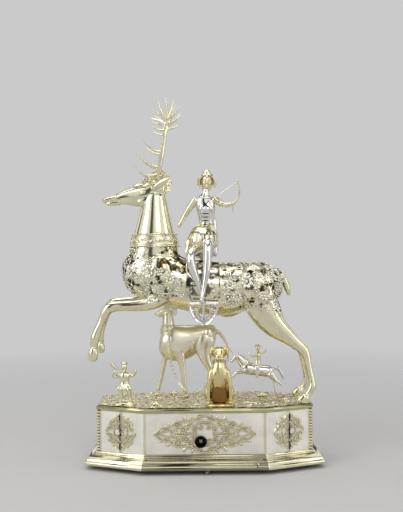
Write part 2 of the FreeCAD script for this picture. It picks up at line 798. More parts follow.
def make_train():
    """The wheels and pinions from the barrel to the drive axle and to the fly."""
    pinion_arbor("second_arbor", SECOND_PLACE, SECOND_PHASE, Size.main_module, Size.great_wheel_y)
    train_wheel("second_wheel", SECOND_PLACE, SECOND_PHASE, Size.main_module, Size.second_wheel_y)
    pinion_arbor("third_arbor", THIRD_PLACE, THIRD_PHASE, Size.main_module, Size.second_wheel_y)
    train_wheel("third_wheel", THIRD_PLACE, THIRD_PHASE, Size.fly_module, Size.third_wheel_y)
    pinion_arbor("fly_arbor", FLY_PLACE, FLY_PHASE, Size.fly_module, Size.third_wheel_y)
    vanes = []
    start = -PLATE_FACE + Size.vane_thick + Size.arbor_radius
    for sign in (-1, 1):
        inner = FLY_PLACE + Vector(sign * Size.arbor_radius, start, -Size.vane_thick / 2)
        span = sign * (Size.vane_radius - Size.arbor_radius)
        outline = [inner, inner + X_AXIS * span, inner + X_AXIS * span + Y_AXIS * Size.vane_length,
                   inner + Y_AXIS * Size.vane_length]
        vanes.append(facet(outline).extrude(Z_AXIS * Size.vane_thick))
    hub = rod(FLY_PLACE, start, start + Size.vane_length, Size.arbor_radius + Size.vane_thick)
    arbor = rod(FLY_PLACE, start, start + Size.vane_length, Size.arbor_radius)
    keep_shape("fly_vanes", joined([hub, *vanes]).cut(arbor))


DRUM_START = Size.great_wheel_y - Size.drum_length


def make_barrel():
    """The toothed barrel, its cap and the mainspring coiled inside."""
    wheel_end = Size.great_wheel_y + Size.wheel_thick
    wheel = gear_face(KEY_PLACE, Size.great_wheel_y, Size.great_teeth, Size.main_module,
                      GREAT_PHASE).extrude(Y_AXIS * Size.wheel_thick)
    hole = flats_round(KEY_PLACE, Size.great_wheel_y, wheel_end, Size.barrel_arbor_radius + Size.pivot_gap)
    outer = rod(KEY_PLACE, DRUM_START + Size.drum_wall, Size.great_wheel_y, Size.drum_radius, LARGE_SIDES)
    room = flats_round(KEY_PLACE, DRUM_START + Size.drum_wall, Size.great_wheel_y,
                Size.drum_radius - Size.drum_wall, LARGE_SIDES)
    keep_shape("barrel", wheel.cut(hole).fuse(outer.cut(room)))
    cap = rod(KEY_PLACE, DRUM_START, DRUM_START + Size.drum_wall, Size.drum_radius, LARGE_SIDES)
    hole = flats_round(KEY_PLACE, DRUM_START, DRUM_START + Size.drum_wall,
                Size.barrel_arbor_radius + Size.pivot_gap)
    keep_shape("barrel_cap", cap.cut(hole))
    make_mainspring()


SPRING_SIDES = 12


def make_mainspring():
    """A flat strip wound in turns, hooked to the inside of the drum."""
    inner = Size.core_radius + Size.core_gap
    outer = Size.drum_radius - Size.drum_wall - Size.spring_strip
    steps = int(Size.spring_turns) * SPRING_SIDES
    near = []
    far = []
    level = DRUM_START + Size.drum_wall + Size.spring_gap
    for step in range(steps + 1):
        turn = FULL_TURN * step / SPRING_SIDES
        radius = inner + (outer - inner) * step / steps
        direction = Vector(math.cos(turn), 0, math.sin(turn))
        near.append(KEY_PLACE + Y_AXIS * level + direction * radius)
        far.append(KEY_PLACE + Y_AXIS * level + direction * (radius + Size.spring_strip))
    strip = facet(near + list(reversed(far)))
    width = Size.great_wheel_y - level - Size.spring_gap
    keep_shape("mainspring", strip.extrude(Y_AXIS * width))


RATCHET_START = -PLATE_FACE - Size.movement_plate_thick - Size.click_gap - Size.ratchet_thick


def make_winding():
    """The barrel arbor with its winding square, its ratchet wheel, click and spring."""
    square_end = -Size.case_depth / 2 + Size.winding_recess
    back = PLATE_FACE + Size.movement_plate_thick
    core_start = DRUM_START + Size.drum_wall + Size.end_shake
    core_end = Size.great_wheel_y - Size.end_shake
    shaft = rod(KEY_PLACE, RATCHET_START, back, Size.barrel_arbor_radius)
    core = rod(KEY_PLACE, core_start, core_end, Size.core_radius)
    half = Size.winding_square / 2
    corners = [KEY_PLACE + Vector(x * half, square_end, z * half) for x, z in QUARTER_SIGNS]
    square = facet(corners).extrude(Y_AXIS * (RATCHET_START - square_end))
    keep_shape("winding_arbor", joined([shaft, core, square]))
    make_ratchet()
    make_click()


def make_ratchet():
    teeth = int(Size.ratchet_teeth)
    step = FULL_TURN / teeth
    centre = KEY_PLACE + Y_AXIS * RATCHET_START
    points = []
    for tooth in range(teeth):
        turn = math.radians(Size.click_angle) - tooth * step
        for radius in (Size.ratchet_radius - Size.ratchet_depth, Size.ratchet_radius):
            points.append(centre + Vector(radius * math.cos(turn), 0, radius * math.sin(turn)))
    shaft = rod(KEY_PLACE, RATCHET_START, RATCHET_START + Size.ratchet_thick, Size.barrel_arbor_radius)
    keep_shape("ratchet_wheel", facet(points).extrude(Y_AXIS * Size.ratchet_thick).cut(shaft))


CLICK_TURN = math.radians(Size.click_angle)
CLICK_OUT = Vector(math.cos(CLICK_TURN), 0, math.sin(CLICK_TURN))
CLICK_ALONG = Vector(-math.sin(CLICK_TURN), 0, math.cos(CLICK_TURN))


def beside_ratchet(along, out):
    """A place on the front plate, from the ratchet tooth that the click rests on."""
    return KEY_PLACE + Y_AXIS * RATCHET_START + CLICK_ALONG * along + CLICK_OUT * out


def make_click():
    """A pawl on the front plate, held on the ratchet by a flat spring."""
    gap = Size.running_gap
    width = Size.click_width
    length = Size.click_length
    clear = Size.ratchet_radius + gap
    root = clear - Size.ratchet_depth
    depth = -PLATE_FACE - Size.movement_plate_thick - RATCHET_START
    outline = [beside_ratchet(*place) for place in
               ((gap, root), (2 * Size.ratchet_depth, clear), (length, clear),
                (length, clear + width), (gap, clear))]
    blade = facet(outline).extrude(Y_AXIS * Size.ratchet_thick)
    head = beside_ratchet(length - width / 2, clear + width / 2)
    foot = ring(head, Y_AXIS, X_AXIS, Size.click_screw_radius, Size.click_screw_radius, SMALL_SIDES)
    keep_shape("click", blade.fuse(facet(foot).extrude(Y_AXIS * depth)))
    make_click_spring(clear + gap, width, length, depth)


def make_click_spring(clear, width, length, depth):
    """A leaf along the back of the click, on a block beside the click's screw."""
    thick = Size.click_spring_thick
    start = length - Size.click_spring_length
    end = length + width / 2
    low = clear + width * start / length
    high = clear + width * end / length
    leaf = [beside_ratchet(*place) for place in
            ((start, low), (end, high), (end, high + thick), (start, low + thick))]
    block = [beside_ratchet(*place) for place in
             ((end, high - width), (end + width, high - width), (end + width, high + thick),
              (end, high + thick))]
    spring = facet(leaf).extrude(Y_AXIS * Size.ratchet_thick)
    keep_shape("click_spring", spring.fuse(facet(block).extrude(Y_AXIS * depth)))


def make_drive():
    """The drive axle through both plates, and the two road wheels on its ends."""
    end = Size.road_wheel_y + Size.road_wheel_thick
    start = Size.second_wheel_y - Size.pinion_extra / 2
    pinion = gear_face(DRIVE_PLACE, start, Size.pinion_leaves, Size.main_module, DRIVE_PHASE)
    teeth = pinion.extrude(Y_AXIS * (Size.wheel_thick + Size.pinion_extra))
    keep_shape("drive_axle", rod(DRIVE_PLACE, -end, end, Size.axle_radius).fuse(teeth))
    wheels = []
    for start in (-end, Size.road_wheel_y):
        stop = start + Size.road_wheel_thick
        disc = flats_round(DRIVE_PLACE, start, stop, Size.road_wheel_radius, LARGE_SIDES)
        wheels.append(disc.cut(rod(DRIVE_PLACE, start, stop, Size.axle_radius)))
    keep_shape("drive_wheels", Part.makeCompound(wheels))


def box_between(low, high):
    return Part.makeBox(high.x - low.x, high.y - low.y, high.z - low.z, low)


def make_steering():
    """A small wheel in a fork that turns under a bridge on the base board."""
    place = Vector(Size.steering_x, 0, Size.steering_wheel_radius)
    half_wheel = Size.steering_wheel_thick / 2
    half_inside = half_wheel + Size.fork_gap
    half_outside = half_inside + Size.fork_wall
    half_width = Size.fork_width / 2
    crown_low = Size.steering_wheel_radius * 2 + Size.fork_gap
    bridge_low = BOARD_TOP + Size.bridge_height - Size.bridge_thick
    crown_high = bridge_low - Size.running_gap
    legs = []
    for sign in (-1, 1):
        low = min(sign * half_inside, sign * half_outside)
        high = max(sign * half_inside, sign * half_outside)
        legs.append(box_between(Vector(place.x - half_width, low, place.z - half_width),
                                Vector(place.x + half_width, high, crown_high)))
    crown = box_between(Vector(place.x - half_width, -half_outside, crown_low),
                        Vector(place.x + half_width, half_outside, crown_high))
    pin = rod(place, -half_outside, half_outside, Size.fork_pin_radius)
    stem_top = bridge_low + Size.bridge_thick + Size.running_gap
    foot = ring(Vector(place.x, 0, crown_low), Z_AXIS, X_AXIS,
                Size.fork_stem_radius, Size.fork_stem_radius, SMALL_SIDES)
    stem = facet(foot).extrude(Z_AXIS * (stem_top - crown_low))
    collar = hexagon(Vector(place.x, 0, stem_top), Z_AXIS, X_AXIS,
                     Size.fork_stem_radius + Size.fork_wall, Size.fork_wall)
    keep_shape("steering_fork", joined([crown, *legs, pin, stem, collar]))
    disc = flats_round(place, -half_wheel, half_wheel, Size.steering_wheel_radius, MIDDLE_SIDES)
    hole = flats_round(place, -half_wheel, half_wheel, Size.fork_pin_radius + Size.pivot_gap)
    keep_shape("steering_wheel", disc.cut(hole))
    make_steering_bridge()


def make_steering_bridge():
    half = "bridge_span / 2"
    inner = "(bridge_span / 2 - bridge_foot)"
    low = BOARD_TEXT
    top = f"({low} + bridge_height)"
    under = f"({top} - bridge_thick)"
    corners = [(f"steering_x - {half}", low), (f"steering_x - {inner}", low),
               (f"steering_x - {inner}", under), (f"steering_x + {inner}", under),
               (f"steering_x + {inner}", low), (f"steering_x + {half}", low),
               (f"steering_x + {half}", top), (f"steering_x - {half}", top)]
    bridge = padded("steering_bridge", "XZ_Plane", "-bridge_width / 2", corners, [], "bridge_width")
    hole = ("steering_x", "0", "fork_stem_radius + pivot_gap")
    pocketed(bridge, "XY_Plane", top, [], [hole], "bridge_thick")


def make_stop_lever():
    """A lever under the base board whose inner arm can rub on a road wheel."""
    pivot = Vector(Size.stop_pivot_x, Size.stop_pivot_y, 0)
    knob_y = -(Size.case_depth / 2 + Size.plinth_proud - Size.stop_knob_radius)
    low = Size.plinth_lift - Size.running_gap - Size.stop_bar_thick
    knob = Vector(Size.stop_knob_x, knob_y, Size.plinth_lift - Size.running_gap - Size.stop_knob_radius)
    half = Size.stop_bar_width / 2
    bar_start = pivot + Z_AXIS * low
    bar_end = bar_start + (Vector(knob.x, knob.y, low) - bar_start) * STOP_BAR_SHARE
    bar = flat_bar(bar_start, bar_end, half, Size.stop_bar_thick)
    ball = skin(ball_rings(knob, Size.stop_knob_radius))
    arm_low = BOARD_TOP + Size.running_gap
    turn = math.radians(Size.stop_arm_angle)
    reach = Vector(math.cos(turn), math.sin(turn), 0) * Size.stop_arm_length
    arm_start = pivot + Z_AXIS * arm_low
    arm = flat_bar(arm_start, arm_start + reach, half, Size.stop_bar_thick)
    foot = ring(bar_start, Z_AXIS, X_AXIS, Size.stop_shaft_radius, Size.stop_shaft_radius, SMALL_SIDES)
    shaft = facet(foot).extrude(Z_AXIS * (arm_low - low))
    keep_shape("stop_lever", joined([bar, ball, shaft, arm]))


def flat_bar(start, end, half_width, thick):
    """A level bar with pointed ends between two places."""
    along = (end - start).normalize() * half_width
    side = Vector(-along.y, along.x, 0)
    outline = (start - along, start + side, end + side, end + along, end - side, start - side)
    return facet(outline).extrude(Z_AXIS * thick)


STOP_BAR_SHARE = 0.92
BALL_SHARES = ((-0.95, 0.31), (-0.5, 0.87), (0, 1), (0.5, 0.87), (0.95, 0.31))


def ball_rings(centre, radius, sides=8):
    return [ring(centre + Z_AXIS * rise * radius, Z_AXIS, X_AXIS, width * radius, width * radius, sides)
            for rise, width in BALL_SHARES]


# The stag. Its tables hold shares of its height: along X, up from the ground, and half
# widths across (Y) and the other way.
STAG_ORIGIN = Vector(0, Size.stag_y, GROUND_TOP)
STAG_SIDES = 16
TRUNK_SHARES = ((-0.84, 1.415, 0.05, 0.05), (-0.8, 1.41, 0.1, 0.1), (-0.73, 1.38, 0.17, 0.22),
                (-0.6, 1.34, 0.22, 0.28), (-0.45, 1.29, 0.24, 0.3), (-0.3, 1.24, 0.25, 0.275),
                (-0.17, 1.195, 0.25, 0.265), (0, 1.165, 0.25, 0.28), (0.15, 1.15, 0.25, 0.293),
                (0.3, 1.16, 0.25, 0.29), (0.45, 1.18, 0.25, 0.27), (0.6, 1.2, 0.24, 0.25),
                (0.72, 1.22, 0.2, 0.19), (0.82, 1.23, 0.11, 0.09))
NECK_SHARES = ((-0.5, 1.3, 0.17, 0.28), (-0.515, 1.45, 0.18, 0.3), (-0.507, 1.6, 0.17, 0.255),
               (-0.51, 1.74, 0.15, 0.22))
UPPER_NECK_SHARES = ((-0.51, 1.74, 0.15, 0.22), (-0.503, 1.93, 0.12, 0.165),
                     (-0.505, 2.07, 0.105, 0.135), (-0.497, 2.2, 0.09, 0.11))
HEAD_SHARES = ((-0.4, 2.24, 0.05, 0.06), (-0.44, 2.235, 0.08, 0.1), (-0.52, 2.22, 0.085, 0.115),
               (-0.62, 2.15, 0.075, 0.105), (-0.72, 2.14, 0.06, 0.08), (-0.82, 2.125, 0.048, 0.07),
               (-0.95, 2.085, 0.042, 0.055), (-1.02, 2.07, 0.038, 0.045), (-1.036, 2.07, 0.025, 0.03))
HIND_LEG_SHARES = ((0.58, -0.14, 1.02, 0.1, 0.17), (0.68, -0.15, 0.83, 0.095, 0.155),
                   (0.84, -0.165, 0.685, 0.068, 0.1), (0.958, -0.18, 0.583, 0.05, 0.065),
                   (1.025, -0.19, 0.532, 0.042, 0.058), (1.056, -0.2, 0.42, 0.036, 0.042),
                   (1.092, -0.21, 0.286, 0.034, 0.04), (1.107, -0.22, 0.173, 0.042, 0.047),
                   (1.061, -0.225, 0.092, 0.04, 0.043), (1.01, -0.23, 0.05, 0.052, 0.06),
                   (1, -0.23, 0, 0.055, 0.08))
NEAR_FORELEG_SHARES = ((-0.38, -0.12, 1.13, 0.08, 0.12), (-0.5, -0.125, 1.02, 0.07, 0.085),
                       (-0.7, -0.125, 1, 0.055, 0.062), (-0.93, -0.12, 0.99, 0.047, 0.052),
                       (-0.995, -0.12, 0.975, 0.05, 0.056), (-1.03, -0.12, 0.9, 0.04, 0.045),
                       (-1.09, -0.12, 0.76, 0.034, 0.038), (-1.117, -0.12, 0.69, 0.04, 0.045),
                       (-1.13, -0.12, 0.61, 0.035, 0.038), (-1.14, -0.12, 0.52, 0.046, 0.052),
                       (-1.145, -0.12, 0.43, 0.05, 0.062))
FAR_FORELEG_SHARES = ((-0.38, 0.12, 1.15, 0.08, 0.12), (-0.5, 0.13, 1.05, 0.07, 0.085),
                      (-0.7, 0.135, 1.035, 0.055, 0.062), (-0.92, 0.14, 1.025, 0.047, 0.052),
                      (-0.98, 0.14, 1.01, 0.05, 0.056), (-1.01, 0.14, 0.92, 0.04, 0.045),
                      (-1.06, 0.14, 0.77, 0.034, 0.038), (-1.08, 0.14, 0.7, 0.04, 0.045),
                      (-1.07, 0.14, 0.62, 0.035, 0.038), (-1.06, 0.14, 0.55, 0.046, 0.052),
                      (-1.052, 0.14, 0.485, 0.05, 0.062))
TAIL_SHARES = ((0.74, 0, 1.33, 0.035, 0.045), (0.82, 0, 1.27, 0.035, 0.04),
               (0.88, 0, 1.14, 0.03, 0.035), (0.897, 0, 1.08, 0.012, 0.015))


def stag_place(x, y, z):
    return STAG_ORIGIN + Vector(x, y, z) * Size.stag_height


def trunk_rings(shrink, grow, sides, shares):
    """The rings of the trunk, drawn in by a wall or out by a cover."""
    rings = []
    for x, z, across, tall in shares:
        wide = across * Size.stag_height - shrink + grow
        high = tall * Size.stag_height - shrink + grow
        rings.append(ring(stag_place(x, 0, z), X_AXIS, Y_AXIS, wide, high, sides))
    return rings


def neck_rings(shares, shrink, sides):
    rings = []
    for x, z, across, deep in shares:
        wide = across * Size.stag_height - shrink
        long = deep * Size.stag_height - shrink
        rings.append(ring(stag_place(x, 0, z), Z_AXIS, Y_AXIS, wide, long, sides))
    return rings


NECK_SIDES = 12
TRUNK = skin(trunk_rings(0, 0, STAG_SIDES, TRUNK_SHARES))
LOWER_NECK = skin(neck_rings(NECK_SHARES, 0, NECK_SIDES))
STAG_OUTSIDE = TRUNK.fuse(LOWER_NECK)
CAVITY_SIDES = 8


def make_stag_body():
    """Trunk and lower neck as a hollow vessel, open at the top of the neck."""
    belly = skin(trunk_rings(Size.stag_wall, 0, CAVITY_SIDES, TRUNK_SHARES[2:-1:2]))
    throat = skin(neck_rings(NECK_SHARES, Size.stag_wall, NECK_SIDES))
    keep_shape("stag_body", STAG_OUTSIDE.cut(belly.fuse(throat)))


def seated_on_stag(shape):
    """What is left of a limb outside the stag's trunk and neck."""
    return largest(shape.cut(STAG_OUTSIDE))


def make_stag_limbs():
    unit = Size.stag_height
    forelegs = [limb(NEAR_FORELEG_SHARES, STAG_ORIGIN, unit), limb(FAR_FORELEG_SHARES, STAG_ORIGIN, unit)]
    keep_shape("stag_forelegs", Part.makeCompound([seated_on_stag(leg) for leg in forelegs]))
    near = limb(HIND_LEG_SHARES, STAG_ORIGIN, unit, level_ends=True)
    far = mirrored(near, Size.stag_y)
    keep_shape("stag_hind_legs", Part.makeCompound([seated_on_stag(leg) for leg in (near, far)]))
    tail = limb(TAIL_SHARES, STAG_ORIGIN, unit, sides=6)
    keep_shape("stag_tail", seated_on_stag(tail))


def hoof_places():
    """Where the hind hooves and two small figures are held through the ground plate."""
    hoof = HIND_LEG_SHARES[-1]
    x = hoof[0] * Size.stag_height
    reach = hoof[1] * Size.stag_height
    return [(x, Size.stag_y + reach), (x, Size.stag_y - reach),
            (Size.seated_dog_x, SEATED_DOG_Y), (HORN_BLOWER_X, HORN_BLOWER_Y)]


def covering(cells_x, cells_round, thick, holes):
    """A sheet over part of the trunk's facets, with some facets left open.

    The cells are ranges of the trunk's rings and sides, and a hole is a pair of them.
    """
    inner = trunk_rings(0, 0, STAG_SIDES, TRUNK_SHARES)
    outer = trunk_rings(0, thick, STAG_SIDES, TRUNK_SHARES)
    present = {(i, j % STAG_SIDES) for i in cells_x for j in cells_round if (i, j) not in holes}
    faces = []
    for i, here in sorted(present):
        before = (here - 1) % STAG_SIDES
        after = (here + 1) % STAG_SIDES
        for grid in (inner, outer):
            faces += strip_facets((grid[i][here], grid[i][after]), (grid[i + 1][here], grid[i + 1][after]),
                                  closed=False)
        borders = (((i - 1, here), (i, here), (i, after)),
                   ((i + 1, here), (i + 1, here), (i + 1, after)),
                   ((i, before), (i, here), (i + 1, here)),
                   ((i, after), (i, after), (i + 1, after)))
        for neighbour, first, second in borders:
            if neighbour not in present:
                faces += strip_facets((inner[first[0]][first[1]], inner[second[0]][second[1]]),
                                      (outer[first[0]][first[1]], outer[second[0]][second[1]]),
                                      closed=False)
    return closed_solid(faces)


# The draperies lie on these facets of the trunk: rings from the chest, and sides counted
# round from the far flank over the back to the near one.
CHEST_RINGS = range(2, 5)
RUMP_RINGS = range(8, 13)
SADDLE_RINGS = range(6, 8)
CHEST_ROUND = range(-4, 12)
RUMP_ROUND = range(-3, 11)
SADDLE_ROUND = range(-2, 10)


def pierced_cells(rings_used, sides_used):
    return {(i, j) for i in list(rings_used)[1:-1:2] for j in list(sides_used)[1:-1:2]}


def make_draperies():
    """Pierced silver coverings on chest and rump, and a saddle cloth between them."""
    forelegs, hind_legs, tail = [doc.getObject(label).Shape
                                 for label in ("stag_forelegs", "stag_hind_legs", "stag_tail")]
    chest_holes = pierced_cells(CHEST_RINGS, CHEST_ROUND)
    chest = covering(CHEST_RINGS, CHEST_ROUND, Size.drapery_thick, chest_holes)
    keep_shape("chest_drapery", largest(chest.cut(LOWER_NECK).cut(forelegs)))
    rump_holes = pierced_cells(RUMP_RINGS, RUMP_ROUND)
    rump = covering(RUMP_RINGS, RUMP_ROUND, Size.drapery_thick, rump_holes)
    keep_shape("rump_drapery", largest(rump.cut(hind_legs).cut(tail)))
    cloth = largest(covering(SADDLE_RINGS, SADDLE_ROUND, Size.cloth_thick, set()).cut(LOWER_NECK))
    keep_shape("saddle_cloth", cloth)
    return cloth


def make_neck_collar():
    """A band round the neck that hides the seam under the lift-off head."""
    inside = skin(neck_rings(NECK_SHARES[2:], 0, NECK_SIDES))
    outside = skin(neck_rings(NECK_SHARES[2:], -Size.neck_band_thick, NECK_SIDES))
    keep_shape("neck_collar", outside.cut(inside))


# The antlers: beam and tines as shares of the stag's height; the far one is mirrored.
BEAM_SHARES = ((-0.47, 0.05, 2.3), (-0.46, 0.07, 2.403), (-0.426, 0.12, 2.584), (-0.403, 0.15, 2.732),
               (-0.39, 0.17, 2.824), (-0.36, 0.19, 2.9))
TINE_SHARES = (((-0.462, 0.07, 2.38), (-0.608, 0.1, 2.357), (-0.71, 0.12, 2.459)),
               ((-0.455, 0.08, 2.436), (-0.596, 0.11, 2.493), (-0.692, 0.13, 2.567)),
               ((-0.426, 0.12, 2.584), (-0.551, 0.15, 2.63), (-0.608, 0.17, 2.709)),
               ((-0.39, 0.17, 2.8), (-0.475, 0.19, 2.814), (-0.528, 0.2, 2.845)),
               ((-0.37, 0.18, 2.86), (-0.45, 0.14, 2.92), (-0.527, 0.12, 2.928)),
               ((-0.36, 0.19, 2.9), (-0.42, 0.2, 2.96), (-0.506, 0.22, 3.004)),
               ((-0.36, 0.19, 2.9), (-0.4, 0.17, 3), (-0.448, 0.15, 3.096)),
               ((-0.36, 0.19, 2.9), (-0.36, 0.21, 3), (-0.37, 0.23, 3.117)),
               ((-0.36, 0.19, 2.9), (-0.31, 0.17, 3.02), (-0.289, 0.14, 3.138)),
               ((-0.36, 0.19, 2.9), (-0.28, 0.19, 2.96), (-0.234, 0.2, 3.038)),
               ((-0.37, 0.18, 2.86), (-0.29, 0.2, 2.89), (-0.244, 0.22, 2.938)))
BEAM_RADIUS_SHARE = 0.021
TINE_RADIUS_SHARE = 0.014
TIP_RADIUS_SHARE = 0.004


def tapering(places, first_share, last_share, sides):
    """A bent stick of the stag's antlers that narrows evenly from its root."""
    last = len(places) - 1
    stations = []
    for index, place in enumerate(places):
        radius = first_share + (last_share - first_share) * index / last
        stations.append((*place, radius, radius))
    return limb(stations, STAG_ORIGIN, Size.stag_height, sides=sides)


def make_antlers():
    """Two branched antlers, each one solid, held in the crown of the head."""
    sticks = [tapering(BEAM_SHARES, BEAM_RADIUS_SHARE, TINE_RADIUS_SHARE, 5)]
    sticks += [tapering(tine, TINE_RADIUS_SHARE, TIP_RADIUS_SHARE, 4) for tine in TINE_SHARES]
    near = joined(sticks)
    far = mirrored(near, Size.stag_y)
    keep_shape("antlers", Part.makeCompound([largest(near.cut(HEAD_SOLID)), largest(far.cut(HEAD_SOLID))]))


EAR_SHARES = ((-0.45, 0.07, 2.25, 0.02, 0.03), (-0.41, 0.12, 2.28, 0.012, 0.035),
              (-0.35, 0.17, 2.3, 0.004, 0.01))


def head_solid():
    """Upper neck, skull and ears in one shape."""
    neck = skin(neck_rings(UPPER_NECK_SHARES, 0, NECK_SIDES))
    unit = Size.stag_height
    skull_stations = [(x, 0, z, across, tall) for x, z, across, tall in HEAD_SHARES]
    skull = limb(skull_stations, STAG_ORIGIN, unit, sides=12)
    ear = limb(EAR_SHARES, STAG_ORIGIN, unit, sides=6)
    head = joined([neck, skull, ear, mirrored(ear, Size.stag_y)])
    head.translate(Vector(0, 0, Size.head_lift_gap))
    return head


HEAD_SOLID = head_solid()


def make_stag_head():
    """The lift-off head, with a hollow spigot that drops into the neck."""
    seam = NECK_SHARES[-1:]
    low = Vector(0, 0, -Size.spigot_length)
    outer = neck_rings(seam, Size.stag_wall + Size.spigot_gap, NECK_SIDES)[0]
    narrow = Size.stag_wall + Size.spigot_gap + Size.spigot_wall
    inner = neck_rings(seam, narrow, NECK_SIDES)[0]
    spigot = facet(outer).cut(facet(inner)).extrude(low)
    spigot.translate(Vector(0, 0, Size.head_lift_gap))
    keep_shape("stag_head", HEAD_SOLID.fuse(spigot))


CROWN_SHARES = ((-0.46, 2.32, 0.075, 0.1), (-0.46, 2.345, 0.085, 0.11), (-0.46, 2.37, 0.05, 0.07))


def make_stag_crown():
    """A wreath of curls between the antlers."""
    stations = [(x, 0, z, across, long) for x, z, across, long in CROWN_SHARES]
    wreath = limb(stations, STAG_ORIGIN, Size.stag_height, sides=8)
    sticks = doc.getObject("antlers").Shape
    keep_shape("stag_crown", largest(wreath.cut(HEAD_SOLID).cut(sticks)))


# The rider sits on the saddle. Shares of the rider's height, from the seat.
SEAT_SHARE = 1.46
RIDER_ORIGIN = Vector(0, Size.rider_y, GROUND_TOP + SEAT_SHARE * Size.stag_height + Size.cloth_thick)
TORSO_SHARES = ((0.01, 0.03, 0, 0.1, 0.1), (0.01, 0.01, 0.1, 0.135, 0.105), (0.015, 0, 0.2, 0.125, 0.09),
                (0.038, 0, 0.36, 0.072, 0.058), (0.035, 0, 0.48, 0.088, 0.066),
                (0.022, 0, 0.58, 0.1, 0.06), (0.018, 0, 0.64, 0.085, 0.042), (0.033, 0, 0.67, 0.032, 0.03))
RIGHT_LEG_SHARES = ((-0.01, 0, 0.1, 0.07, 0.06), (-0.1, -0.16, 0.06, 0.055, 0.055),
                    (-0.13, -0.24, 0.03, 0.045, 0.045), (-0.11, -0.25, -0.06, 0.038, 0.04),
                    (-0.05, -0.25, -0.24, 0.03, 0.032), (-0.02, -0.25, -0.36, 0.02, 0.02),
                    (-0.015, -0.27, -0.4, 0.018, 0.03), (-0.01, -0.31, -0.435, 0.012, 0.014))
LEFT_LEG_SHARES = ((0.05, 0, 0.1, 0.07, 0.06), (0.05, -0.16, 0.07, 0.055, 0.055),
                   (0.037, -0.24, 0.04, 0.045, 0.045), (0.03, -0.26, -0.06, 0.038, 0.04),
                   (0.01, -0.29, -0.24, 0.03, 0.032), (-0.01, -0.31, -0.34, 0.02, 0.02),
                   (-0.02, -0.33, -0.38, 0.018, 0.03), (-0.03, -0.36, -0.42, 0.012, 0.014))
RIDER_HEAD_SHARES = ((0.033, 0, 0.67, 0.026, 0.026), (0.036, 0, 0.72, 0.028, 0.03),
                     (0.04, -0.01, 0.735, 0.045, 0.055), (0.042, -0.005, 0.79, 0.075, 0.085),
                     (0.042, 0, 0.84, 0.07, 0.08), (0.042, 0.01, 0.875, 0.04, 0.05),
                     (0.042, 0.015, 0.89, 0.045, 0.045), (0.042, 0.015, 0.915, 0.025, 0.025))
RIGHT_ARM_SHARES = ((-0.07, 0, 0.62, 0.03, 0.032), (-0.12, -0.01, 0.56, 0.027, 0.03),
                    (-0.17, -0.02, 0.49, 0.022, 0.024), (-0.22, -0.02, 0.4, 0.018, 0.02),
                    (-0.255, -0.01, 0.34, 0.016, 0.024))
LEFT_ARM_SHARES = ((0.11, 0, 0.62, 0.03, 0.032), (0.17, -0.02, 0.58, 0.026, 0.028),
                   (0.23, -0.04, 0.55, 0.021, 0.023), (0.28, -0.06, 0.56, 0.017, 0.018),
                   (0.31, -0.07, 0.57, 0.018, 0.02))
SKIRT_SHARES = ((0.03, 0, 0.33, 0.078, 0.064), (0.015, -0.03, 0.24, 0.14, 0.12),
                (0, -0.08, 0.12, 0.165, 0.2), (-0.01, -0.13, 0.02, 0.17, 0.17),
                (-0.01, -0.15, -0.05, 0.16, 0.15))
BOW_SHARES = ((0.34, -0.12, 0.79, 0.008, 0.008), (0.375, -0.1, 0.7, 0.01, 0.01),
              (0.36, -0.08, 0.62, 0.013, 0.013), (0.31, -0.07, 0.57, 0.015, 0.015),
              (0.3, -0.06, 0.5, 0.013, 0.013), (0.33, -0.04, 0.42, 0.008, 0.008))


def rider_limb(shares, sides=8):
    return limb(shares, RIDER_ORIGIN, Size.rider_height, across=X_AXIS, sides=sides)


def arm_limb(shares):
    return limb(shares, RIDER_ORIGIN, Size.rider_height, sides=6)


def make_rider(cloth):
    """A huntress riding side-saddle, her feet crossed on the near side."""
    seat = STAG_OUTSIDE.fuse(cloth)
    body = joined([rider_limb(TORSO_SHARES, 10), rider_limb(RIGHT_LEG_SHARES), rider_limb(LEFT_LEG_SHARES)])
    body = largest(body.cut(seat))
    keep_shape("rider_body", body)
    head = rider_limb(RIDER_HEAD_SHARES, 10)
    keep_shape("rider_head", largest(head.cut(body)))
    arms = [arm_limb(RIGHT_ARM_SHARES), arm_limb(LEFT_ARM_SHARES)]
    arms = [largest(arm.cut(body)) for arm in arms]
    keep_shape("rider_arms", Part.makeCompound(arms))
    skirt = rider_limb(SKIRT_SHARES, 12)
    keep_shape("rider_drapery", largest(skirt.cut(body).cut(seat)))
    bow = arm_limb(BOW_SHARES)
    keep_shape("rider_bow", Part.makeCompound(bow.cut(arms[1]).Solids))


# The hound, as shares of its height from the ground, about its own mid-plane.
HOUND_ORIGIN = Vector(0, Size.hound_y, GROUND_TOP)
HOUND_TRUNK_SHARES = ((-0.47, 0, 0.6, 0.05, 0.08), (-0.44, 0, 0.59, 0.085, 0.13),
                      (-0.38, 0, 0.58, 0.105, 0.17), (-0.25, 0, 0.58, 0.105, 0.165),
                      (-0.1, 0, 0.62, 0.09, 0.13), (0.02, 0, 0.66, 0.085, 0.115),
                      (0.1, 0, 0.68, 0.075, 0.1), (0.14, 0, 0.68, 0.04, 0.05))
HOUND_NECK_SHARES = ((-0.36, 0, 0.58, 0.08, 0.11), (-0.375, 0, 0.68, 0.07, 0.09),
                     (-0.38, 0, 0.76, 0.065, 0.075))
HOUND_UPPER_NECK_SHARES = ((-0.38, 0, 0.763, 0.065, 0.075), (-0.385, 0, 0.84, 0.055, 0.065),
                           (-0.38, 0, 0.92, 0.05, 0.06))
HOUND_HEAD_SHARES = ((-0.3, 0, 0.94, 0.035, 0.045), (-0.33, 0, 0.945, 0.05, 0.07),
                     (-0.38, 0, 0.94, 0.05, 0.07), (-0.43, 0, 0.91, 0.035, 0.045),
                     (-0.48, 0, 0.885, 0.025, 0.032), (-0.51, 0, 0.875, 0.018, 0.022))
